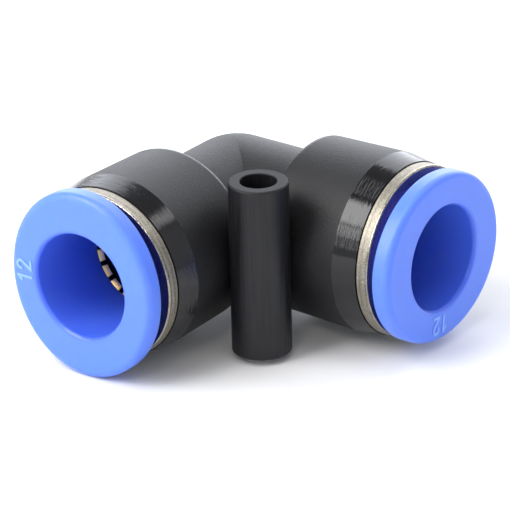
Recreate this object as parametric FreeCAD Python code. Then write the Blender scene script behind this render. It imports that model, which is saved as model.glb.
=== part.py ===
import FreeCAD, Part
import math
import os

# Push-in elbow for 12 mm tube, in millimetres. Two equal ports meet at a right angle: the right
# port opens along +X and the front port along -Y. A tube with a screw hole stands in the inner
# corner of the elbow, parallel to Z. The origin is on the axis of that hole, half way up it, in
# the plane of the two port axes. Along a port, "s" is the distance outward from the crossing of
# the port axes. Every piece of a port is drawn about local Z, with s as its local height.

V = FreeCAD.Vector
X_AXIS = V(1, 0, 0)
Y_AXIS = V(0, 1, 0)
Z_AXIS = V(0, 0, 1)

# ---------------------------------------------------------------- driving dimensions

tube_diameter = 12.0
ring_bore_clearance = 0.15        # radial, between the tube and the release ring
guide_clearance = 0.08            # radial, between the tube and the body's own guide

# lengths along a port, from the crossing outward; each piece starts where the last one ends
stop_distance = 8.4               # crossing to the shoulder that the tube's end meets
guide_length = 4.2
seal_length = 3.3
back_ring_floor = 0.5             # wall between the seal and the room for the claws
claw_thickness = 0.3
collar_show = 1.6                 # part of the collar that stands out of the body
flange_gap = 1.3                  # collar to release flange, at rest
flange_thickness = 2.2

# body; its walls are built outward from the tube
tube_stop_step = 1.2              # shoulder that stops the tube, outside the air way
guide_wall = 1.77                 # core wall round the tube guide
socket_wall = 1.1                 # body wall round the collar, at the mouth
seal_shoulder = 0.4               # step that the back ring sits on
mouth_taper = 0.45                # the mouth is this much less in radius than the barrel behind it
barrel_swell = 0.25               # the barrel's back is this much less in radius than its front
mouth_band_length = 2.9
barrel_back_wall = 1.6            # from the barrel's back face to the seal pocket
barrel_back_round = 0.6
core_root_round = 0.5

# mounting tube in the inner corner
boss_sink = 0.62                  # how deep its side sinks into the backs of the barrels
boss_radius = 3.42
boss_height = 20.6
screw_hole_radius = 2.1
boss_edge_round = 0.25
screw_hole_chamfer = 0.08

# collar
collar_step = 0.1                 # collar inside the mouth's outline
collar_lip_length = 3.0
collar_skirt_wall = 0.8
collar_edge_round = 0.22
collar_lip_chamfer = 0.25
barb_count = 3
barb_depth = 0.12
barb_land = 0.84                  # plain length of the collar's skirt, next to the mouth

# release ring
sleeve_wall = 1.15
sleeve_clearance = 0.12           # radial, between the sleeve and the collar's lip
bead_height = 0.42                # snap bead that keeps the sleeve behind the lip
bead_length = 0.9
bead_clearance = 0.05             # axial, bead to lip at rest
bead_side_clearance = 0.48        # radial, bead to the collar's skirt
bead_end_clearance = 0.34         # axial, bead to the claws' rim at full push
nose_clearance = 0.16             # axial, sloping nose to the claws at rest
nose_land = 0.35                  # width of the nose that meets the claws
nose_relief = 3.0                 # degrees steeper than the claws at full push
flange_overhang = 1.02            # flange beyond the collar, along its long axis
flange_shortfall = 0.08           # flange inside the collar's outline, along its short axis
flange_front_round = 0.8
flange_back_round = 0.25
mouth_round = 0.5                 # rounded entry of the bore
flange_stop_clearance = 0.1       # flange to collar at full push

# size numerals on the flange
numeral_margin = 0.14             # flat face left clear above and below the numerals
numeral_stroke = 0.32
numeral_relief = 0.1
numeral_root = 0.25               # depth that the strokes start below the face
numeral_gap = 0.42
two_width = 0.5                   # the next four are shares of a digit's height
one_inset = 0.1
one_flag_run = 0.24
one_flag_drop = 0.26
two_hook_start = 10.0             # degrees along the hook of the "2"
two_hook_end = -215.0

# claw ring
claw_count = 20
claw_tip_depth = 0.25             # how far the tips stand in from the tube's surface
claw_slope = 45.0                 # degrees, finger to the plane of the rim
claw_slot_width = 0.55
claw_root_clearance = 0.65        # from the sleeve's outside to the root of the fingers
claw_rim_clearance = 0.12
claw_end_clearance = 0.05         # axial, each side of the rim

# back ring and seal
back_ring_clearance = 0.05
claw_swing_clearance = 0.1        # axial, kept behind the claws' tips at full push
claw_side_clearance = 0.3         # radial, kept round the claws at full push, as they bend in a curve
seal_lip_depth = 0.25             # how far the lips stand in from the tube's surface
seal_outer_clearance = 0.05
seal_lip_thickness = 0.7
seal_groove_depth = 1.5
seal_bead = 0.22

cut_margin = 1.0                  # how far a cutting shape runs past the faces that it cuts
match = 1e-4                      # edges this close to a size or a height are the ones meant

# how each port is turned: angle of the flange's long radius, and of the first claw
ports = {
    "front": {"long_axis": 270.5, "claw_phase": -2.0},
    "right": {"long_axis": -6.5, "claw_phase": 5.0},
}

# ---------------------------------------------------------------- radii, from the tube outward

tube_radius = tube_diameter / 2
passage_radius = tube_radius - tube_stop_step
ring_bore_radius = tube_radius + ring_bore_clearance
guide_radius = tube_radius + guide_clearance
core_radius = guide_radius + guide_wall
sleeve_radius = ring_bore_radius + sleeve_wall
lip_radius = sleeve_radius + sleeve_clearance
claw_root_radius = sleeve_radius + claw_root_clearance
skirt_radius = sleeve_radius + bead_height + bead_side_clearance
socket_radius = skirt_radius + collar_skirt_wall
seal_pocket_radius = socket_radius - seal_shoulder
mouth_radius = socket_radius + socket_wall
barrel_front_radius = mouth_radius + mouth_taper
barrel_back_radius = barrel_front_radius - barrel_swell
collar_radius = mouth_radius - collar_step
flange_long_radius = collar_radius + flange_overhang
flange_short_radius = collar_radius - flange_shortfall
boss_offset = barrel_back_radius + boss_radius - boss_sink

# ---------------------------------------------------------------- places along a port

slope = math.radians(claw_slope)
claw_tip_radius = tube_radius - claw_tip_depth
finger_drop = (claw_root_radius - claw_tip_radius) * math.tan(slope)
claw_depth = finger_drop + claw_thickness * math.cos(slope)
release_travel = flange_gap - flange_stop_clearance
claw_room = release_travel + claw_swing_clearance + claw_depth - claw_thickness - claw_end_clearance

guide_end = stop_distance + guide_length
seal_end = guide_end + seal_length
claw_room_start = seal_end + back_ring_floor
back_ring_end = claw_room_start + claw_room
claw_start = back_ring_end + claw_end_clearance
claw_end = claw_start + claw_thickness
collar_start = claw_end + claw_end_clearance
lip_back = claw_end + bead_end_clearance + release_travel + bead_length + bead_clearance
mouth = lip_back + collar_lip_length - collar_show
collar_front = mouth + collar_show
flange_back = collar_front + flange_gap
flange_front = flange_back + flange_thickness
barrel_back = guide_end - barrel_back_wall
band_start = mouth - mouth_band_length
barb_pitch = (mouth - collar_start - barb_land) / barb_count


# ---------------------------------------------------------------- helpers

def revolved(points):
    """Closed outline of (radius, s) points, turned about local Z."""
    corners = [V(radius, 0, s) for radius, s in points]
    outline = Part.makePolygon(corners + corners[:1])
    return Part.Face(outline).revolve(V(0, 0, 0), Z_AXIS, 360)


def disc(radius, start, end):
    """Cylinder about local Z from s = start to s = end."""
    return Part.makeCylinder(radius, end - start, V(0, 0, start))


def circle_edges(solid, radius, height):
    """Round edges of a solid of that radius about local Z at that height."""
    found = []
    for edge in solid.Edges:
        curve = edge.Curve
        if not isinstance(curve, Part.Circle):
            continue
        if abs(curve.Radius - radius) < match and abs(curve.Center.z - height) < match:
            found.append(edge)
    return found


def level_edges(solid, height):
    """Edges of a solid that lie flat at that height."""
    return [edge for edge in solid.Edges
            if abs(edge.BoundBox.ZMin - height) < match and abs(edge.BoundBox.ZMax - height) < match]


def polar(centre, distance, angle):
    """Point at that distance and angle, in degrees, from a centre, at the centre's height."""
    turn = math.radians(angle)
    return centre + V(distance * math.cos(turn), distance * math.sin(turn), 0)


def stadium(start, end, width):
    """Face round a straight stroke with half-round ends."""
    along = (end - start).normalize()
    side = V(-along.y, along.x, 0) * (width / 2)
    tip = along * (width / 2)
    return Part.Face(Part.Wire([
        Part.LineSegment(start + side, end + side).toShape(),
        Part.Arc(end + side, end + tip, end - side).toShape(),
        Part.LineSegment(end - side, start - side).toShape(),
        Part.Arc(start - side, start - tip, start + side).toShape(),
    ]))


def curved_stroke(centre, radius, first, last, width):
    """Face round a stroke that follows an arc from the first to the last angle, in degrees."""
    half = width / 2
    middle = (first + last) / 2
    onward = 90 if last > first else -90
    first_cap = polar(polar(centre, radius, first), half, first - onward)
    last_cap = polar(polar(centre, radius, last), half, last + onward)
    outer = [polar(centre, radius + half, angle) for angle in (first, middle, last)]
    inner = [polar(centre, radius - half, angle) for angle in (last, middle, first)]
    return Part.Face(Part.Wire([
        Part.Arc(outer[0], outer[1], outer[2]).toShape(),
        Part.Arc(outer[2], last_cap, inner[0]).toShape(),
        Part.Arc(inner[0], inner[1], inner[2]).toShape(),
        Part.Arc(inner[2], first_cap, outer[0]).toShape(),
    ]))


def placed(shape, port):
    """A piece drawn about local Z, moved to its port: local X, Y and Z become world axes."""
    if port == "front":
        turn = FreeCAD.Rotation(X_AXIS, Z_AXIS, -Y_AXIS, "XYZ")
    else:
        turn = FreeCAD.Rotation(Y_AXIS, Z_AXIS, X_AXIS, "XYZ")
    moved = shape.copy()
    moved.Placement = FreeCAD.Placement(V(-boss_offset, boss_offset, 0), turn).multiply(moved.Placement)
    return moved


def turned(shape, angle):
    """A copy of a piece turned about local Z."""
    copy = shape.copy()
    copy.rotate(V(0, 0, 0), Z_AXIS, angle)
    return copy


# ---------------------------------------------------------------- elbow body

def barrel():
    """Outside of one port: a drum that swells slightly to the smooth tapered band at its mouth."""
    drum = revolved([
        (0, barrel_back),
        (barrel_back_radius, barrel_back),
        (barrel_front_radius, band_start),
        (mouth_radius, mouth),
        (0, mouth),
    ])
    return drum.makeFillet(barrel_back_round, circle_edges(drum, barrel_back_radius, barrel_back))


def arm():
    """One barrel with its length of core, with a rounded root where the two meet."""
    whole = barrel().fuse(disc(core_radius, 0, barrel_back + barrel_back_round)).removeSplitter()
    return whole.makeFillet(core_root_round, circle_edges(whole, core_radius, barrel_back))


def socket():
    """Hollow of one port: air way, tube guide, seal pocket and the bore that takes the collar."""
    hollow = disc(passage_radius, 0, stop_distance)
    hollow = hollow.fuse(disc(guide_radius, stop_distance, guide_end))
    hollow = hollow.fuse(disc(seal_pocket_radius, guide_end, seal_end))
    return hollow.fuse(disc(socket_radius, seal_end, mouth)).removeSplitter()


def mounting_boss():
    """Upright tube for the screw, drawn at the origin, before the hole is cut."""
    tube = Part.makeCylinder(boss_radius, boss_height, V(0, 0, -boss_height / 2))
    rims = level_edges(tube, boss_height / 2) + level_edges(tube, -boss_height / 2)
    return tube.makeFillet(boss_edge_round, rims)


def screw_hole():
    """Clear hole through the mounting tube, with a small chamfer at each end."""
    half = boss_height / 2
    wide = screw_hole_radius + screw_hole_chamfer
    return revolved([
        (0, -half),
        (wide, -half),
        (screw_hole_radius, -half + screw_hole_chamfer),
        (screw_hole_radius, half - screw_hole_chamfer),
        (wide, half),
        (0, half),
    ])


def elbow_body():
    """The one-piece moulding that everything else fits into."""
    corner = V(-boss_offset, boss_offset, 0)
    shell = Part.makeSphere(core_radius, corner)
    hollow = Part.makeSphere(passage_radius, corner)
    for port in ports:
        shell = shell.fuse(placed(arm(), port))
        hollow = hollow.fuse(placed(socket(), port))
    shell = shell.fuse(mounting_boss()).removeSplitter()
    return shell.cut(hollow).cut(screw_hole()).removeSplitter()


# ---------------------------------------------------------------- pieces of one port

def collar():
    """Metal collar pressed into the mouth, with barbs outside and a lip that keeps the sleeve."""
    skirt_outside = [(socket_radius - barb_depth, collar_start)]
    for index in range(barb_count):
        root = collar_start + index * barb_pitch
        skirt_outside.append((socket_radius, root + barb_pitch))
        skirt_outside.append((socket_radius - barb_depth, root + barb_pitch))
    ring = revolved(
        [(skirt_radius, collar_start)]
        + skirt_outside
        + [
            (socket_radius - barb_depth, mouth),
            (collar_radius, mouth),
            (collar_radius, collar_front),
            (lip_radius + collar_lip_chamfer, collar_front),
            (lip_radius, collar_front - collar_lip_chamfer),
            (lip_radius, lip_back),
            (skirt_radius, lip_back),
        ])
    rims = circle_edges(ring, collar_radius, collar_front) + circle_edges(ring, collar_radius, mouth)
    return ring.makeFillet(collar_edge_round, rims)


def nose_height(radius):
    """Height of the sleeve's nose at that radius, where it follows the claws just clear of them."""
    return claw_face_height(radius) + nose_clearance


def pushed_slope():
    """Slope of the claws when the release ring is pushed all the way in."""
    contact_radius = ring_bore_radius + nose_land
    drop = claw_end - nose_height(contact_radius) + release_travel
    return math.atan2(drop, claw_root_radius - contact_radius)


def numerals():
    """The tube size, 12, as raised strokes below the bore, with the tops of the digits outward."""
    flat_start = ring_bore_radius + mouth_round + numeral_margin
    flat_end = flange_short_radius - flange_front_round - numeral_margin
    height = flat_end - flat_start - numeral_stroke
    base = -(flat_start + numeral_stroke / 2)
    top = base - height
    # seen from outside with the tops down, so the "1" and the left of the "2" are towards +X
    edge = (numeral_gap + numeral_stroke) / 2
    one_foot = V(edge + one_inset * height, base, 0)
    one_head = V(one_foot.x, top, 0)
    one_flag = one_head + V(one_flag_run * height, one_flag_drop * height, 0)
    hook = two_width * height / 2
    hook_centre = V(-edge - hook, top + hook, 0)
    two_left = V(-edge, base, 0)
    two_right = V(-edge - 2 * hook, base, 0)
    strokes = [
        stadium(one_foot, one_head, numeral_stroke),
        stadium(one_head, one_flag, numeral_stroke),
        curved_stroke(hook_centre, hook, two_hook_start, two_hook_end, numeral_stroke),
        stadium(polar(hook_centre, hook, two_hook_end), two_left, numeral_stroke),
        stadium(two_left, two_right, numeral_stroke),
    ]
    relief = None
    for face in strokes:
        face.translate(V(0, 0, flange_front - numeral_root))
        solid = face.extrude(V(0, 0, numeral_root + numeral_relief))
        relief = solid if relief is None else relief.fuse(solid)
    return relief


def flange():
    """Oval push flange with a softly rounded front rim, before the bore is cut."""
    oval = Part.Ellipse(V(0, 0, flange_back), flange_long_radius, flange_short_radius).toShape()
    plate = Part.Face(Part.Wire([oval])).extrude(V(0, 0, flange_thickness))
    plate = plate.makeFillet(flange_front_round, level_edges(plate, flange_front))
    return plate.makeFillet(flange_back_round, level_edges(plate, flange_back))


def sleeve():
    """Sleeve of the release ring: a nose sloped like the claws, and a snap bead near it."""
    bead_front = lip_back - bead_clearance
    bead_back = bead_front - bead_length
    contact_radius = ring_bore_radius + nose_land
    nose_rise = (sleeve_radius - contact_radius) * math.tan(pushed_slope() + math.radians(nose_relief))
    return revolved([
        (ring_bore_radius, nose_height(ring_bore_radius)),
        (contact_radius, nose_height(contact_radius)),
        (sleeve_radius, nose_height(contact_radius) + nose_rise),
        (sleeve_radius, bead_back),
        (sleeve_radius + bead_height, bead_front - bead_height / 2),
        (sleeve_radius + bead_height, bead_front),
        (sleeve_radius, bead_front),
        (sleeve_radius, flange_back + flange_back_round),
        (ring_bore_radius, flange_back + flange_back_round),
    ])


def release_ring():
    """Blue ring that is pushed to let the tube go."""
    plate = flange().cut(disc(ring_bore_radius, flange_back - cut_margin, flange_front + cut_margin))
    plate = plate.makeFillet(mouth_round, circle_edges(plate, ring_bore_radius, flange_front))
    return plate.fuse(sleeve()).fuse(numerals()).removeSplitter()


def claw_face_height(radius):
    """Height of the mouth side of a claw finger at that radius."""
    return claw_end - (claw_root_radius - radius) * math.tan(slope)


def claw_ring():
    """Sprung steel ring: a flat rim with a ring of sloping fingers that bite the tube."""
    lean = V(math.sin(slope), 0, -math.cos(slope)) * claw_thickness
    tip_height = claw_face_height(claw_tip_radius)
    back_root = claw_root_radius + claw_thickness * math.tan(slope / 2)
    ring = revolved([
        (claw_root_radius, claw_end),
        (socket_radius - claw_rim_clearance, claw_end),
        (socket_radius - claw_rim_clearance, claw_start),
        (back_root, claw_start),
        (claw_tip_radius + lean.x, tip_height + lean.z),
        (claw_tip_radius, tip_height),
    ])
    bottom = tip_height + lean.z - cut_margin
    depth = claw_end + cut_margin - bottom
    slot = Part.makeBox(claw_root_radius, claw_slot_width, depth, V(0, -claw_slot_width / 2, bottom))
    slot_end = Part.makeCylinder(claw_slot_width / 2, depth, V(claw_root_radius, 0, bottom))
    cutter = slot.fuse(slot_end)
    pitch = 360 / claw_count
    cutters = [turned(cutter, (index + 0.5) * pitch) for index in range(claw_count)]
    return ring.cut(Part.makeCompound(cutters))


def back_ring():
    """Plastic ring behind the claws, with room inside for them to bend back into."""
    steep = pushed_slope()
    outward = claw_thickness / math.sin(steep) + claw_side_clearance
    finger_length = (claw_root_radius - claw_tip_radius) / math.cos(slope)
    cone_foot = claw_end - finger_length * math.sin(steep)
    foot_radius = claw_root_radius - finger_length * math.cos(steep) + outward
    top_radius = claw_root_radius + outward
    return revolved([
        (guide_radius, seal_end),
        (socket_radius - back_ring_clearance, seal_end),
        (socket_radius - back_ring_clearance, back_ring_end),
        (top_radius, back_ring_end),
        (foot_radius, cone_foot),
        (foot_radius, claw_room_start),
        (guide_radius, claw_room_start),
    ])


def seal():
    """Rubber lip seal: a solid heel, a groove that air pressure opens, and an inner lip."""
    outer = seal_pocket_radius - seal_outer_clearance
    lip_bore = tube_radius - seal_lip_depth
    heel = seal_end - seal_outer_clearance
    tip = guide_end + seal_outer_clearance
    groove_in = lip_bore + seal_lip_thickness
    groove_out = outer - seal_lip_thickness
    return revolved([
        (tube_radius + seal_bead, heel),
        (outer - seal_bead, heel),
        (outer, heel - seal_bead),
        (outer, tip + seal_bead),
        (outer - seal_bead, tip),
        (groove_out, tip),
        ((groove_in + groove_out) / 2, tip + seal_groove_depth),
        (groove_in, tip),
        (lip_bore + seal_bead, tip),
        (lip_bore, tip + seal_bead),
        (lip_bore, tip + 2 * seal_bead),
        (tube_radius + seal_bead, heel - 2 * seal_bead),
    ])


# ---------------------------------------------------------------- build

pieces = {"elbow_body": elbow_body()}
for port, settings in ports.items():
    pieces[port + "_collar"] = placed(collar(), port)
    pieces[port + "_release_ring"] = placed(turned(release_ring(), settings["long_axis"]), port)
    pieces[port + "_claw_ring"] = placed(turned(claw_ring(), settings["claw_phase"]), port)
    pieces[port + "_back_ring"] = placed(back_ring(), port)
    pieces[port + "_seal"] = placed(seal(), port)

os.makedirs("parts", exist_ok=True)
for name, shape in pieces.items():
    solids = shape.Solids
    whole = solids[0] if len(solids) == 1 else shape
    whole.exportStep("parts/" + name + ".step")
    print(name, "solids", len(solids), "valid", shape.isValid(), "volume", round(shape.Volume, 2))
print("mouth", round(mouth, 3), "face", round(flange_front, 3), "travel", round(release_travel, 3))
print("ring bore from", round(nose_height(ring_bore_radius), 3), "to", round(flange_front - mouth_round, 3))
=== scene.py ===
# %% [markdown]
# # A push-in elbow for 12 mm air tube
#
# Two tubes meet at a right angle in this fitting. Each is pushed through a blue release ring and a
# nickel-plated collar into a black plastic body, past a ring of steel claws that hold it and a
# rubber seal. The CAD frame already holds every part at its real size. Blender's work here is the
# finish: what each surface is made of, how it was made, and how soft light shows that.
#
# The frame is loaded first, because every later cell takes its places from it.

# %% Load the frame
import math
import bmesh
import bpy
from mathutils import Matrix, Vector


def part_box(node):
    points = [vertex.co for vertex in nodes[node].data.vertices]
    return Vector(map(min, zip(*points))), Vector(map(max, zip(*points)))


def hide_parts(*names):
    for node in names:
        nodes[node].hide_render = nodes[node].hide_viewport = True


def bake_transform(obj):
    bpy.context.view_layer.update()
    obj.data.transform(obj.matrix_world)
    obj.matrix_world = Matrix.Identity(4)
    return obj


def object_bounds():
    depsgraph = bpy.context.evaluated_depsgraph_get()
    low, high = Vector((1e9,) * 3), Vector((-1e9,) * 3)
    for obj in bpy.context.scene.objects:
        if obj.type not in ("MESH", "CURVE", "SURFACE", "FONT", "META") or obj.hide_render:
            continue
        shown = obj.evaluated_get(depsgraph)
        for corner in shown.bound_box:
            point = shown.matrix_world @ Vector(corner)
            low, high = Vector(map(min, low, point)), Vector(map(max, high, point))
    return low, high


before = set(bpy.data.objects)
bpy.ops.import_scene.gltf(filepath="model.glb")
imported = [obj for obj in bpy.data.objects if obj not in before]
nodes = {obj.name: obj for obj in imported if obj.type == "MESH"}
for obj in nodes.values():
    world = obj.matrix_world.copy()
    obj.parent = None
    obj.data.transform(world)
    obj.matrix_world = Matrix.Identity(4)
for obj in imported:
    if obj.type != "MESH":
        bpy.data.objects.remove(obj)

cad_low, cad_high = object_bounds()
print("CAD nodes:", ", ".join(sorted(nodes)))

# %% [markdown]
# ## Sizes that the finishes need
#
# Patterns on a real surface have real sizes: a spark-eroded mould leaves grains of a fraction of a
# millimetre, a lathe leaves lines a tenth of a millimetre apart. Blender works in metres here, so
# one constant turns millimetres into metres, and the rest is read from the frame's boxes.

# %% Measure the frame
MM = 0.001
PORTS = {"front": Vector((0, -1, 0)), "right": Vector((1, 0, 0))}
body_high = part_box("elbow_body")[1]
MOUTH_BAND = 2.9 * MM
band_edge = body_high.x - MOUTH_BAND


def port_axis_point(port):
    """A point on a port's axis: the middle of its collar, which is round about that axis."""
    low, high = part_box(port + "_collar")
    return (low + high) / 2


for port in PORTS:
    middle = port_axis_point(port) / MM
    print(port, "collar centre, mm:", [round(value, 2) for value in middle])
print("smooth band starts at", round(band_edge / MM, 2), "mm")

# %% [markdown]
# ## Colour and node helpers
#
# A colour picked from a chart or a screen is in sRGB, but the renderer adds light in linear
# numbers, so each hex value goes through one function. Shader trees are long when written out node
# by node. One small function that adds a node, sets its properties and plugs in its inputs keeps
# every material below readable as a list of what it is made of.

# %% Colour and node helpers
def linear(code):
    """sRGB hex such as "5c8af2" to linear red, green, blue and alpha."""
    channels = [int(code[place:place + 2], 16) / 255 for place in (0, 2, 4)]
    return tuple(c / 12.92 if c <= 0.04045 else ((c + 0.055) / 1.055) ** 2.4 for c in channels) + (1.0,)


def add(tree, kind, settings=None, **inputs):
    """Adds one node. Settings are its properties. Inputs are values or other nodes' outputs."""
    made = tree.nodes.new(kind)
    for key, value in (settings or {}).items():
        setattr(made, key, value)
    for key, value in inputs.items():
        place = int(key[3:]) if key.startswith("in_") else key.replace("_", " ")
        if isinstance(value, bpy.types.NodeSocket):
            tree.links.new(value, made.inputs[place])
        else:
            made.inputs[place].default_value = value
    return made


def new_material(name):
    """An empty material with its output, and the place of each point in metres."""
    material = bpy.data.materials.new(name)
    material.use_nodes = True
    tree = material.node_tree
    tree.nodes.clear()
    output = add(tree, "ShaderNodeOutputMaterial")
    place = add(tree, "ShaderNodeTexCoord").outputs["Object"]
    print("material", name)
    return material, tree, output, place


def finish_material(tree, output, shader):
    tree.links.new(shader.outputs["BSDF"], output.inputs["Surface"])


def per_metre(size_mm):
    """Texture scale that gives features of about that size."""
    return 1 / (size_mm * MM)


def outward_reach(tree, place):
    """How far out along its port a point lies: X for the right port, -Y for the front one."""
    axes = add(tree, "ShaderNodeSeparateXYZ", in_0=place)
    front = add(tree, "ShaderNodeMath", {"operation": "MULTIPLY"}, in_0=axes.outputs["Y"], in_1=-1.0)
    reach = add(tree, "ShaderNodeMath", {"operation": "MAXIMUM"},
                in_0=axes.outputs["X"], in_1=front.outputs[0])
    return reach.outputs[0]


def axis_distance(tree, place, port):
    """How far a point is from a port's axis."""
    outward = PORTS[port]
    across = [1.0 - abs(share) for share in outward]
    shifted = add(tree, "ShaderNodeVectorMath", {"operation": "SUBTRACT"}, in_0=place,
                  in_1=port_axis_point(port))
    flat = add(tree, "ShaderNodeVectorMath", {"operation": "MULTIPLY"}, in_0=shifted.outputs[0],
               in_1=across)
    return add(tree, "ShaderNodeVectorMath", {"operation": "LENGTH"}, in_0=flat.outputs[0]).outputs["Value"]


def between(tree, value, start, end, edge):
    """1 where a value lies between two limits, 0 elsewhere, with edges of that width."""
    above = add(tree, "ShaderNodeMapRange", in_0=value, in_1=start - edge, in_2=start)
    below = add(tree, "ShaderNodeMapRange", in_0=value, in_1=end + edge, in_2=end)
    both = add(tree, "ShaderNodeMath", {"operation": "MULTIPLY"},
               in_0=above.outputs[0], in_1=below.outputs[0])
    return both.outputs[0]


# %% [markdown]
# ## The body: PBT, moulded in a spark-eroded tool
#
# The elbow is one moulding of black PBT, a hard plastic with an index near 1.5, set here to 1.46
# because the matt grain takes some strength from its reflections. Most of the tool is eroded,
# which leaves a fine matt grain that spreads every reflection into a soft sheen. The last few
# millimetres at each mouth were polished in the tool, so that band is smooth and shows the lamps
# sharply, a little ragged where the polishing went round. The long screw tube has faint drag
# lines from the tool it was pulled out of, and its top end is duller than the rest. The barrels'
# back rims are rubbed smooth and catch thin lines of light. One material does all of it: where a
# point lies decides which finish it has. The real grain is about 0.05 mm, too fine to show, so it
# is drawn at 0.22 mm.

# %% Body material
GRAIN_MM = 0.22
GRAIN_HEIGHT = 0.045 * MM
FLOW_MM = 6.0
POLISH_MM = 1.4
POLISH_HEIGHT = 0.06 * MM
POLISH_STRETCH = 7.0
DRAG_MM = 0.3
DRAG_STRETCH = 0.04
BLEND_EDGE = 0.04 * MM
MATT_LOW, MATT_HIGH = 0.42, 0.6
PULLED_LOW, PULLED_HIGH = 0.36, 0.56
SMOOTH_LOW, SMOOTH_HIGH = 0.04, 0.15
END_FACE_ROUGHNESS = 0.66
RUBBED_ROUGHNESS = 0.31
BOSS_RADIUS = 3.42 * MM
BOSS_HALF_HEIGHT = 10.3 * MM
BARREL_BACK = -2.1 * MM
BARREL_RADIUS = 10.3 * MM
RIM_ROUND = 0.6 * MM
RIM_BLEND = 0.2 * MM
RADIUS_BLEND = 0.1 * MM


def rubbed_rims(tree, place):
    """1 on the rounded back rim of either barrel, which rubs smooth on whatever it touches."""
    masks = []
    axes = add(tree, "ShaderNodeSeparateXYZ", in_0=place)
    inward = add(tree, "ShaderNodeMath", {"operation": "MULTIPLY"}, in_0=axes.outputs["Y"], in_1=-1.0)
    for port, reach in (("front", inward.outputs[0]), ("right", axes.outputs["X"])):
        along = between(tree, reach, BARREL_BACK, BARREL_BACK + RIM_ROUND, RIM_BLEND)
        around = between(tree, axis_distance(tree, place, port), BARREL_RADIUS - 1.2 * RIM_ROUND,
                         BARREL_RADIUS + RIM_ROUND, RADIUS_BLEND)
        masks.append(add(tree, "ShaderNodeMath", {"operation": "MULTIPLY"},
                         in_0=along, in_1=around).outputs[0])
    return add(tree, "ShaderNodeMath", {"operation": "MAXIMUM"}, in_0=masks[0], in_1=masks[1]).outputs[0]


def stretched(tree, place, x_scale, y_scale, z_scale):
    """A place with each coordinate scaled, for grain that runs one way."""
    return add(tree, "ShaderNodeVectorMath", {"operation": "MULTIPLY"}, in_0=place,
               in_1=(x_scale, y_scale, z_scale)).outputs[0]


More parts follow.
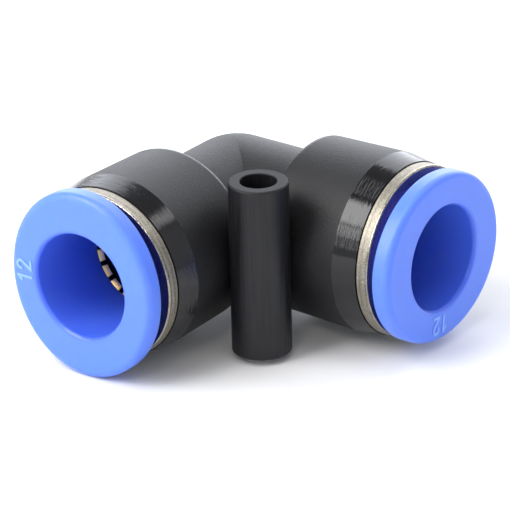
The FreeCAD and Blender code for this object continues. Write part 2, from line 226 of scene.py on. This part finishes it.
def pbt_moulded():
    material, tree, output, place = new_material("pbt_spark_eroded_moulded")
    reach = outward_reach(tree, place)
    band = add(tree, "ShaderNodeMapRange", {"interpolation_type": "SMOOTHSTEP"},
               in_0=reach, in_1=band_edge - BLEND_EDGE, in_2=band_edge + BLEND_EDGE).outputs[0]
    flat = add(tree, "ShaderNodeVectorMath", {"operation": "MULTIPLY"}, in_0=place, in_1=(1.0, 1.0, 0.0))
    boss_distance = add(tree, "ShaderNodeVectorMath", {"operation": "LENGTH"}, in_0=flat.outputs[0])
    boss = add(tree, "ShaderNodeMapRange", in_0=boss_distance.outputs["Value"],
               in_1=BOSS_RADIUS + 0.1 * MM, in_2=BOSS_RADIUS + 0.02 * MM).outputs[0]

    grain = add(tree, "ShaderNodeTexNoise", Vector=place, Scale=per_metre(GRAIN_MM), Detail=3.0,
                Roughness=0.65).outputs["Fac"]
    flow = add(tree, "ShaderNodeTexNoise", Vector=place, Scale=per_metre(FLOW_MM),
               Detail=4.0).outputs["Fac"]
    drag = add(tree, "ShaderNodeTexNoise", Vector=stretched(tree, place, 1.0, 1.0, DRAG_STRETCH),
               Scale=per_metre(DRAG_MM), Detail=2.0).outputs["Fac"]
    axes = add(tree, "ShaderNodeSeparateXYZ", in_0=place)
    sideways = add(tree, "ShaderNodeMath", in_0=axes.outputs["X"], in_1=axes.outputs["Y"])
    wrapped = add(tree, "ShaderNodeCombineXYZ", in_0=reach, in_1=sideways.outputs[0],
                  in_2=axes.outputs["Z"])
    polish = add(tree, "ShaderNodeTexNoise", Scale=per_metre(POLISH_MM), Detail=3.0,
                 Vector=stretched(tree, wrapped.outputs[0], POLISH_STRETCH, 1.0, 1.0)).outputs["Fac"]

    colour = add(tree, "ShaderNodeMix", {"data_type": "RGBA"}, in_0=flow,
                 in_6=linear("0c0c0f"), in_7=linear("111114"))
    matt = add(tree, "ShaderNodeMapRange", in_0=grain, in_3=MATT_LOW, in_4=MATT_HIGH)
    end_face = between(tree, axes.outputs["Z"], BOSS_HALF_HEIGHT - 0.1 * MM,
                       BOSS_HALF_HEIGHT + 0.1 * MM, 0.05 * MM)
    top_end = add(tree, "ShaderNodeMath", {"operation": "MULTIPLY"}, in_0=end_face, in_1=boss)
    streaky = add(tree, "ShaderNodeMapRange", in_0=drag, in_1=0.35, in_2=0.65,
                  in_3=PULLED_LOW, in_4=PULLED_HIGH)
    pulled = add(tree, "ShaderNodeMix", {"data_type": "FLOAT"}, in_0=boss,
                 in_2=matt.outputs[0], in_3=streaky.outputs[0])
    dull = add(tree, "ShaderNodeMix", {"data_type": "FLOAT"}, in_0=top_end.outputs[0],
               in_2=pulled.outputs[0], in_3=END_FACE_ROUGHNESS)
    rubbed = add(tree, "ShaderNodeMix", {"data_type": "FLOAT"}, in_0=rubbed_rims(tree, place),
                 in_2=dull.outputs[0], in_3=RUBBED_ROUGHNESS)
    smooth = add(tree, "ShaderNodeMapRange", in_0=polish, in_3=SMOOTH_LOW, in_4=SMOOTH_HIGH)
    rough = add(tree, "ShaderNodeMix", {"data_type": "FLOAT"}, in_0=band,
                in_2=rubbed.outputs[0], in_3=smooth.outputs[0])

    dragged = add(tree, "ShaderNodeMix", {"data_type": "FLOAT"}, in_0=boss, in_2=grain, in_3=drag)
    mixed = add(tree, "ShaderNodeMath", in_0=grain, in_1=dragged.outputs[0])
    eroded = add(tree, "ShaderNodeBump", Height=mixed.outputs[0], Strength=0.55,
                 Distance=GRAIN_HEIGHT)
    wavy = add(tree, "ShaderNodeBump", Height=polish, Strength=0.4, Distance=POLISH_HEIGHT)
    normal = add(tree, "ShaderNodeMix", {"data_type": "VECTOR"}, in_0=band,
                 in_4=eroded.outputs[0], in_5=wavy.outputs[0])
    shader = add(tree, "ShaderNodeBsdfPrincipled", IOR=1.46, Base_Color=colour.outputs[2],
                 Roughness=rough.outputs[0], Normal=normal.outputs[1])
    finish_material(tree, output, shader)
    return material


# %% [markdown]
# ## The release rings: acetal, moulded
#
# The rings are blue acetal (POM), a waxy, slightly translucent plastic. Light goes a little way
# in and comes out beside where it entered, which softens the rounded rims and makes the inside of
# the bore glow. Subsurface scattering with a radius of some tenths of a millimetre gives that.
# The flange comes from a finely ground tool, so it is satin and a little pale. The bore comes off
# a polished pin, so it is smoother; its deeper blue is painted shade for the dimmer light down
# the bore. The sleeve behind the flange is thin and sits in the shaded gap by the collar; its
# deeper, more violet blue is painted shade for that gap. The raised numerals are drawn paler
# still. How far a point is from the port's axis, and how far out along it, decides which of the
# four it has.

# %% Release ring material
ring_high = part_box("right_release_ring")[1]
BORE_RADIUS = 6.15 * MM
MOUTH_ROUND = 0.5 * MM
NUMERAL_RELIEF = 0.1 * MM
FLANGE_GAP = 1.3 * MM
FLANGE_BLEND = 0.05 * MM
WAVE_MM = 1.8
TOOL_GRAIN_MM = 0.12
SATIN_LOW, SATIN_HIGH = 0.32, 0.44
BORE_ROUGHNESS = 0.26
GLOW_DEPTH = 0.8 * MM
numeral_start = ring_high.x - 0.6 * NUMERAL_RELIEF
flange_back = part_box("right_collar")[1].x + FLANGE_GAP


def pom_moulded(port):
    material, tree, output, place = new_material("pom_ground_tool_moulded_" + port)
    waves = add(tree, "ShaderNodeTexNoise", Vector=place, Scale=per_metre(WAVE_MM), Detail=2.0)
    grain = add(tree, "ShaderNodeTexNoise", Vector=place, Scale=per_metre(TOOL_GRAIN_MM), Detail=3.0)
    outside = add(tree, "ShaderNodeMapRange", {"interpolation_type": "SMOOTHSTEP"},
                  in_0=axis_distance(tree, place, port),
                  in_1=BORE_RADIUS + 0.1 * MM, in_2=BORE_RADIUS + 1.4 * MOUTH_ROUND)
    raised = add(tree, "ShaderNodeMapRange", in_0=outward_reach(tree, place),
                 in_1=numeral_start, in_2=numeral_start + 0.3 * NUMERAL_RELIEF)
    face = add(tree, "ShaderNodeMix", {"data_type": "RGBA"}, in_0=waves.outputs["Fac"],
               in_6=linear("5a83ef"), in_7=linear("5f88f3"))
    # Painted shade: behind the flange, in the shaded gap by the collar, the colour turns a deeper violet
    # blue (706cfa).
    behind = add(tree, "ShaderNodeMapRange", in_0=outward_reach(tree, place),
                 in_1=flange_back + FLANGE_BLEND, in_2=flange_back - FLANGE_BLEND)
    ring = add(tree, "ShaderNodeMix", {"data_type": "RGBA"}, in_0=behind.outputs[0],
               in_6=face.outputs[2], in_7=linear("706cfa"))
    # Painted shade: inside the bore the colour turns a deeper blue (4e72e4), standing in for the dimmer
    # light down it.
    plain = add(tree, "ShaderNodeMix", {"data_type": "RGBA"}, in_0=outside.outputs[0],
                in_6=linear("4e72e4"), in_7=ring.outputs[2])
    # The raised numerals are drawn a paler blue (84a8fa).
    colour = add(tree, "ShaderNodeMix", {"data_type": "RGBA"}, in_0=raised.outputs[0],
                 in_6=plain.outputs[2], in_7=linear("84a8fa"))
    satin = add(tree, "ShaderNodeMapRange", in_0=grain.outputs["Fac"],
                in_3=SATIN_LOW, in_4=SATIN_HIGH)
    rough = add(tree, "ShaderNodeMix", {"data_type": "FLOAT"}, in_0=outside.outputs[0],
                in_2=BORE_ROUGHNESS, in_3=satin.outputs[0])
    bump = add(tree, "ShaderNodeBump", Height=grain.outputs["Fac"], Strength=0.08, Distance=0.01 * MM)
    shader = add(tree, "ShaderNodeBsdfPrincipled", IOR=1.5, Base_Color=colour.outputs[2],
                 Roughness=rough.outputs[0], Normal=bump.outputs[0],
                 Subsurface_Weight=0.8, Subsurface_Scale=GLOW_DEPTH, Subsurface_Radius=(0.3, 0.5, 1.0))
    finish_material(tree, output, shader)
    return material


# %% [markdown]
# ## The collars: brass, turned and nickel-plated
#
# A collar is turned from brass bar and plated with bright nickel, which is slightly warm. Plating
# copies what is under it, so the lathe's lines run round the collar and stretch each highlight
# along it. The lines are bands along the port's axis, about 0.05 mm apart on the real part and
# drawn at 0.12 mm. The tool's last pass burnished the outer edge, which is smoother and catches a
# thin line of light. The face looks faintly sandy, as if lightly blasted before plating. That
# satin is drawn at 0.16 mm. A metal takes its colour from its base colour and keeps the default index.

# %% Collar material
TOOL_LINE_MM = 0.12
SAND_MM = 0.16
CLOUD_MM = 0.7
LINES_PER_SCALE = 20
SAND_SHARE = 0.5
SAND_LOW, SAND_HIGH = 0.36, 0.62
BURNISHED_ROUGHNESS = 0.12
LINE_HEIGHT = 0.04 * MM
EDGE_START, EDGE_END = 0.3 * MM, 0.24 * MM
collar_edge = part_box("right_collar")[1].x


def brass_turned_nickel_plated(port):
    material, tree, output, place = new_material("brass_turned_nickel_plated_" + port)
    axis = "Y" if port == "front" else "X"
    lines = add(tree, "ShaderNodeTexWave", {"bands_direction": axis}, Vector=place,
                Scale=per_metre(TOOL_LINE_MM) / LINES_PER_SCALE, Distortion=0.6, Detail=2.0)
    sand = add(tree, "ShaderNodeTexNoise", Vector=place, Scale=per_metre(SAND_MM), Detail=3.0)
    cloud = add(tree, "ShaderNodeTexNoise", Vector=place, Scale=per_metre(CLOUD_MM), Detail=4.0)
    sandy = add(tree, "ShaderNodeMapRange", in_0=sand.outputs["Fac"], in_1=0.36, in_2=0.64)
    mottle = add(tree, "ShaderNodeMix", {"data_type": "FLOAT"}, in_0=1.0 - SAND_SHARE,
                 in_2=sandy.outputs[0], in_3=cloud.outputs["Fac"])
    colour = add(tree, "ShaderNodeMix", {"data_type": "RGBA"}, in_0=mottle.outputs[0],
                 in_6=linear("6a655b"), in_7=linear("b6b0a2"))
    satin = add(tree, "ShaderNodeMapRange", in_0=sand.outputs["Fac"],
                in_3=SAND_LOW, in_4=SAND_HIGH)
    edge = add(tree, "ShaderNodeMapRange", in_0=outward_reach(tree, place),
               in_1=collar_edge - EDGE_START, in_2=collar_edge - EDGE_END)
    rough = add(tree, "ShaderNodeMix", {"data_type": "FLOAT"}, in_0=edge.outputs[0],
                in_2=satin.outputs[0], in_3=BURNISHED_ROUGHNESS)
    height = add(tree, "ShaderNodeMath", in_0=lines.outputs["Fac"], in_1=sand.outputs["Fac"])
    bump = add(tree, "ShaderNodeBump", Height=height.outputs[0], Strength=0.6, Distance=LINE_HEIGHT)
    shader = add(tree, "ShaderNodeBsdfPrincipled", Metallic=1.0, Base_Color=colour.outputs[2],
                 Roughness=rough.outputs[0], Normal=bump.outputs[0])
    finish_material(tree, output, shader)
    return material


# %% [markdown]
# ## The claws: spring steel, stamped
#
# The claw ring is stamped from thin stainless strip and hardened, which leaves it a little straw
# coloured. Rolled strip has a fine grain and the stamping oil leaves it uneven, so its roughness
# varies over a millimetre or so.

# %% Claw material
OIL_MM = 0.8
ROLLED_GRAIN_MM = 0.07
STRIP_LOW, STRIP_HIGH = 0.28, 0.45


def steel_stamped():
    material, tree, output, place = new_material("stainless_spring_steel_stamped")
    cloud = add(tree, "ShaderNodeTexNoise", Vector=place, Scale=per_metre(OIL_MM), Detail=4.0)
    grain = add(tree, "ShaderNodeTexNoise", Vector=place, Scale=per_metre(ROLLED_GRAIN_MM), Detail=2.0)
    colour = add(tree, "ShaderNodeMix", {"data_type": "RGBA"}, in_0=cloud.outputs["Fac"],
                 in_6=linear("f6ca78"), in_7=linear("fbe2a2"))
    rough = add(tree, "ShaderNodeMapRange", in_0=cloud.outputs["Fac"],
                in_3=STRIP_LOW, in_4=STRIP_HIGH)
    bump = add(tree, "ShaderNodeBump", Height=grain.outputs["Fac"], Strength=0.1, Distance=0.01 * MM)
    shader = add(tree, "ShaderNodeBsdfPrincipled", Metallic=1.0, Base_Color=colour.outputs[2],
                 Roughness=rough.outputs[0], Normal=bump.outputs[0])
    finish_material(tree, output, shader)
    return material


# %% [markdown]
# ## The hidden rings: acetal and nitrile rubber
#
# Behind the claws sit a plain black acetal ring and a lip seal of nitrile rubber. They show only
# down the bore. Rubber is duller than plastic and slightly grey from the powder that keeps it from
# sticking in the bag, so its roughness is high and its grain coarser.

# %% Back ring and seal materials
def plain_moulded(name, dark, light, ior, rough_low, rough_high, grain_mm):
    material, tree, output, place = new_material(name)
    grain = add(tree, "ShaderNodeTexNoise", Vector=place, Scale=per_metre(grain_mm), Detail=4.0)
    colour = add(tree, "ShaderNodeMix", {"data_type": "RGBA"}, in_0=grain.outputs["Fac"],
                 in_6=linear(dark), in_7=linear(light))
    rough = add(tree, "ShaderNodeMapRange", in_0=grain.outputs["Fac"], in_3=rough_low, in_4=rough_high)
    bump = add(tree, "ShaderNodeBump", Height=grain.outputs["Fac"], Strength=0.2, Distance=0.02 * MM)
    shader = add(tree, "ShaderNodeBsdfPrincipled", IOR=ior, Base_Color=colour.outputs[2],
                 Roughness=rough.outputs[0], Normal=bump.outputs[0])
    finish_material(tree, output, shader)
    return material


# %% [markdown]
# ## Put the finishes on the CAD nodes
#
# A CAD node whose shape is right keeps its mesh and only changes its material.

# %% Assign the materials
def dress(node, material):
    slots = nodes[node].material_slots
    for slot in slots:
        slot.material = material
    print(node, "now has", material.name, "in", len(slots), "slot(s)")


body_material = pbt_moulded()
claw_material = steel_stamped()
back_ring_material = plain_moulded("pom_black_moulded", "151517", "1c1c1f", 1.48, 0.4, 0.55, 0.2)
seal_material = plain_moulded("nitrile_rubber_moulded", "101011", "1a1a1b", 1.52, 0.6, 0.8, 0.3)
dress("elbow_body", body_material)
for port in PORTS:
    dress(port + "_release_ring", pom_moulded(port))
    dress(port + "_collar", brass_turned_nickel_plated(port))
    dress(port + "_back_ring", back_ring_material)
    dress(port + "_seal", seal_material)

# %% [markdown]
# ## The claw rings, modelled as sheet metal
#
# Each claw ring is one stamping: a flat rim with twenty sloping fingers. The slots between the
# fingers have parallel sides and round ends, so that the sheet doesn't tear there. It could be cut
# from a solid, but a stamping is easier to make the way the real one is: draw the sheet's outline
# once for a finger, lay the finger out round the ring, and only then give it its thickness with a
# Solidify modifier. The root of each finger is a bend, so the outline has an arc there.
#
# On the real part the ring's nose presses the fingers from 1.25 mm behind the rim on, and they
# bend inward when the release ring is pushed. The piece replaces the CAD ring, which is hidden,
# as one fixed shape.

# %% Claw ring outline
FINGERS = 20
FINGER_TURN = {"front": math.radians(-2), "right": math.radians(5)}
SHEET = 0.3 * MM
SLOPE = math.radians(45)
SLOT_HALF = 0.275 * MM
ROOT_RADIUS = 7.95 * MM
BEND_RADIUS = 0.45 * MM

claw_low, claw_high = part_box("right_claw_ring")
rim_depth = claw_high.x
rim_radius = (claw_high.z - claw_low.z) / 2
tip_depth = claw_low.x + SHEET * math.cos(SLOPE)
tip_radius = ROOT_RADIUS - (rim_depth - tip_depth) / math.tan(SLOPE)
bend_outer = ROOT_RADIUS + BEND_RADIUS * math.tan(SLOPE / 2)
bend_inner = bend_outer - BEND_RADIUS * math.sin(SLOPE)


def sheet_depth(radius):
    """How far out along the port the sheet's mouth side is, at that radius."""
    if radius >= bend_outer:
        return rim_depth
    if radius <= bend_inner:
        return rim_depth - (ROOT_RADIUS - radius) * math.tan(SLOPE)
    return rim_depth - BEND_RADIUS + math.sqrt(BEND_RADIUS ** 2 - (bend_outer - radius) ** 2)


def slot_half_angle(radius):
    """Half of the slot, seen from the axis. It has parallel sides and a round end in the rim."""
    past = max(0.0, radius - ROOT_RADIUS)
    half = math.sqrt(max(0.0, SLOT_HALF ** 2 - past ** 2))
    return math.asin(half / radius)


def spread(first, last, steps):
    return [first + (last - first) * step / steps for step in range(steps)]


slot_end = ROOT_RADIUS + SLOT_HALF
radii = (spread(tip_radius, bend_inner, 5) + spread(bend_inner, ROOT_RADIUS, 3)
         + [ROOT_RADIUS + SLOT_HALF * math.sin(math.radians(turn)) for turn in (0, 20, 40, 60, 75)]
         + [slot_end, rim_radius])
print("fingers from radius", round(tip_radius / MM, 2), "to", round(ROOT_RADIUS / MM, 2), "mm")

# %% [markdown]
# The same finger is laid out twenty times round each port's axis, its outer edge joined to its
# neighbours' to make the rim. The sheet lies on the mouth side, so Solidify adds its thickness
# inward. A small Bevel rounds the stamped edges, which is what makes them catch the light.

# %% Claw ring meshes
COLUMNS = 6
EDGE_ROUND = 0.03 * MM
MERGE_DISTANCE = 0.001 * MM
BEVEL_FROM = math.radians(50)
SHARP_FROM = math.radians(35)


def port_line(port):
    """A point on the port's axis at zero reach, the way out, and the two directions across it."""
    outward = PORTS[port]
    middle = port_axis_point(port)
    across = Vector((1, 0, 0)) if port == "front" else Vector((0, 1, 0))
    return middle - outward * middle.dot(outward), outward, across, Vector((0, 0, 1))


def apply_modifiers(piece):
    """Turns what the modifiers show into the piece's own mesh."""
    seen = piece.evaluated_get(bpy.context.evaluated_depsgraph_get())
    mesh = bpy.data.meshes.new_from_object(seen)
    piece.modifiers.clear()
    piece.data = mesh


def claw_ring(port):
    start, outward, across, upward = port_line(port)
    pitch = math.tau / FINGERS
    sheet = bmesh.new()
    for finger in range(FINGERS):
        middle = FINGER_TURN[port] + finger * pitch
        rows = []
        for radius in radii:
            half = pitch / 2 - slot_half_angle(radius)
            row = []
            for column in range(COLUMNS + 1):
                turn = middle + half * (2 * column / COLUMNS - 1)
                spot = across * (radius * math.cos(turn)) + upward * (radius * math.sin(turn))
                row.append(sheet.verts.new(start + spot + outward * sheet_depth(radius)))
            rows.append(row)
        for inner, outer in zip(rows, rows[1:]):
            for column in range(COLUMNS):
                sheet.faces.new((inner[column], inner[column + 1], outer[column + 1], outer[column]))
    bmesh.ops.remove_doubles(sheet, verts=sheet.verts, dist=MERGE_DISTANCE)
    bmesh.ops.recalc_face_normals(sheet, faces=sheet.faces)
    rim_face = max(sheet.faces, key=lambda face: face.calc_center_median().dot(outward))
    if rim_face.normal.dot(outward) < 0:
        bmesh.ops.reverse_faces(sheet, faces=sheet.faces)
    mesh = bpy.data.meshes.new(port + "_claws")
    sheet.to_mesh(mesh)
    sheet.free()
    piece = bpy.data.objects.new(port + "_claws", mesh)
    bpy.context.scene.collection.objects.link(piece)
    metal = piece.modifiers.new("sheet", "SOLIDIFY")
    metal.thickness = SHEET
    metal.offset = -1.0
    metal.use_even_offset = True
    edges = piece.modifiers.new("edges", "BEVEL")
    edges.width = EDGE_ROUND
    edges.segments = 2
    edges.angle_limit = BEVEL_FROM
    apply_modifiers(piece)
    piece.data.shade_smooth()
    piece.data.set_sharp_from_angle(angle=SHARP_FROM)
    piece.data.materials.clear()
    piece.data.materials.append(claw_material)
    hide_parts(port + "_claw_ring")
    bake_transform(piece)
    print(piece.name, "has", len(piece.data.polygons), "faces")


for port in PORTS:
    claw_ring(port)

# %% [markdown]
# ## A pale floor and soft light
#
# The part stands on a pale sweep. A white world acts as a light tent: the black plastic mirrors
# it faintly everywhere and strongly along its edges, which is what draws its shape. Area lamps
# add the brighter patches that the smooth bands and the metal pick up.

# %% Floor
FLOOR_RADIUS = 1.2
FIBRE_MM = 3.0


def paper_sweep():
    material, tree, output, place = new_material("paper_matt_coated")
    fibre = add(tree, "ShaderNodeTexNoise", Vector=place, Scale=per_metre(FIBRE_MM), Detail=4.0)
    colour = add(tree, "ShaderNodeMix", {"data_type": "RGBA"}, in_0=fibre.outputs["Fac"],
                 in_6=linear("e9e9e9"), in_7=linear("ececec"))
    shader = add(tree, "ShaderNodeBsdfPrincipled", Base_Color=colour.outputs[2], Roughness=0.9)
    finish_material(tree, output, shader)
    return material


bpy.ops.mesh.primitive_circle_add(vertices=96, radius=FLOOR_RADIUS, fill_type="NGON",
                                  location=(0, 0, cad_low.z))
floor = bpy.context.object
floor.name = "floor"
floor.data.materials.append(paper_sweep())
print("floor at", round(cad_low.z / MM, 2), "mm")

# %% World
HORIZON, ZENITH = 0.8, 0.35
world = bpy.data.worlds.new("tent")
bpy.context.scene.world = world
world.use_nodes = True
sky = world.node_tree
sky.nodes.clear()
height = add(sky, "ShaderNodeSeparateXYZ", in_0=add(sky, "ShaderNodeTexCoord").outputs["Generated"])
fade = add(sky, "ShaderNodeMapRange", {"interpolation_type": "SMOOTHSTEP"}, in_0=height.outputs["Z"],
           in_1=0.5, in_2=0.95, in_3=HORIZON, in_4=ZENITH)
tent = add(sky, "ShaderNodeBackground", Strength=fade.outputs[0], Color=linear("f8faff"))
add(sky, "ShaderNodeOutputWorld", Surface=tent.outputs["Background"])
print("tent brightness from", HORIZON, "to", ZENITH, "overhead")


# %% Lamps
def softbox(name, azimuth, elevation, wide, tall, brightness, distance=0.5, colour="ffffff"):
    """A lamp on a sphere round the part, facing it, with its size as seen from there in degrees.

    Azimuth 0 is on the -Y side and 90 on the +X side. Brightness is against a white wall's 1.
    """
    a, e = math.radians(azimuth), math.radians(elevation)
    away = Vector((math.sin(a) * math.cos(e), -math.cos(a) * math.cos(e), math.sin(e)))
    lamp = bpy.data.lights.new(name, "AREA")
    lamp.shape = "RECTANGLE"
    lamp.size = 2 * distance * math.tan(math.radians(wide / 2))
    lamp.size_y = 2 * distance * math.tan(math.radians(tall / 2))
    lamp.energy = brightness * math.pi * lamp.size * lamp.size_y
    lamp.color = linear(colour)[:3]
    holder = bpy.data.objects.new(name, lamp)
    bpy.context.scene.collection.objects.link(holder)
    holder.location = away * distance
    holder.rotation_euler = away.to_track_quat("Z", "Y").to_euler()
    holder.visible_camera = False
    print("lamp", name, "energy", round(lamp.energy, 2), "W")


softbox("key_upper", azimuth=-31, elevation=50, wide=32, tall=26, brightness=8.0)
softbox("key_lower", azimuth=-33, elevation=28, wide=34, tall=15, brightness=6.0)
softbox("key_foot", azimuth=-33, elevation=14, wide=34, tall=11, brightness=2.7)
softbox("back_panel", azimuth=-156, elevation=24, wide=56, tall=54, brightness=2.9, distance=0.7,
        colour="f2f6ff")
softbox("top_softbox", azimuth=0, elevation=88, wide=26, tall=26, brightness=3.2)
softbox("bore_softbox", azimuth=22, elevation=41, wide=13, tall=10, brightness=7.0,
        colour="fff6e8")
softbox("side_softbox", azimuth=140, elevation=49, wide=16, tall=12, brightness=3.5)

# %% [markdown]
# ## The camera
#
# A long lens about half a metre away, a little above and to the right of the corner, sees both
# mouths and the screw tube between them.

# %% Camera
def look_from(azimuth, elevation, roll, distance, aim, lens):
    """A camera on a sphere round the aim. Azimuth 0 looks along +Y; roll turns it about its view."""
    a, e, r = (math.radians(value) for value in (azimuth, elevation, roll))
    back = Vector((math.sin(a) * math.cos(e), -math.cos(a) * math.cos(e), math.sin(e)))
    level = Vector((math.cos(a), math.sin(a), 0))
    upright = back.cross(level)
    side = level * math.cos(r) + upright * math.sin(r)
    up = back.cross(side)
    camera = bpy.data.objects.new("camera", bpy.data.cameras.new("camera"))
    bpy.context.scene.collection.objects.link(camera)
    camera.data.sensor_width = 36.0
    camera.data.lens = lens
    camera.data.clip_start = 0.01
    camera.data.clip_end = 10.0
    turn = Matrix((side, up, back)).transposed().to_4x4()
    camera.matrix_world = Matrix.Translation(aim + back * distance) @ turn
    bpy.context.scene.camera = camera
    return camera


camera = look_from(azimuth=37.55, elevation=24.15, roll=-1.38, distance=495.4 * MM,
                   aim=Vector((-0.73, 0.04, 1.07)) * MM, lens=312.0)
bpy.context.scene.view_settings.view_transform = "Standard"
print("camera at", [round(value, 4) for value in camera.matrix_world.translation])
